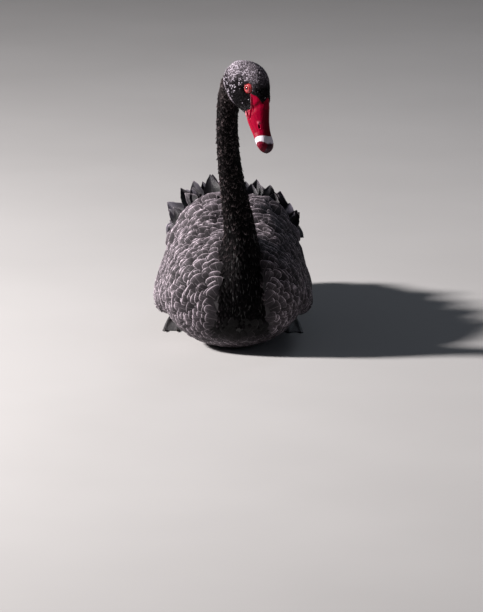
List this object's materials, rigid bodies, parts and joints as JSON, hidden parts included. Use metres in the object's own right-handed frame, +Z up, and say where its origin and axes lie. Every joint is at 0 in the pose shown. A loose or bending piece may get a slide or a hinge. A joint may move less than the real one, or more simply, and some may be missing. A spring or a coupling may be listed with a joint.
{
  "type": "black swan",
  "caption": "Life-size still model of a black swan afloat: upright neck, turned head with lowered red bill, folded wings with raised curled feathers, feet tucked under, resting on its belly.",
  "frame": {"origin": "middle of the flat under the belly, on the floor", "axes": "-Y the way the bird swims, +Y towards the tail, +X the bird's left, +Z up"},
  "size_m": [0.2532, 0.7295, 0.4881],
  "materials": {
    "body_feathers": "soft feathers with paler edges",
    "wing_feathers": "firm feathers with a dull sheen",
    "neck_feathers": "short dense feathers",
    "head_feathers": "very short feathers",
    "bill": "satin horn",
    "eye": "wet gloss",
    "leg_skin": "scaly skin"
  },
  "bodies": {
    "root": {"trunk": "body_feathers", "wing_left": "wing_feathers", "wing_right": "wing_feathers", "frill_left": "wing_feathers", "frill_right": "wing_feathers", "tail": "wing_feathers", "neck_lower": "neck_feathers", "neck_middle": "neck_feathers", "neck_upper": "neck_feathers", "head": "head_feathers", "bill_upper": "bill", "bill_lower": "bill", "eye_left": "eye", "eye_right": "eye", "leg_left": "leg_skin", "leg_right": "leg_skin", "foot_left": "leg_skin", "foot_right": "leg_skin"}
  },
  "joints": []
}
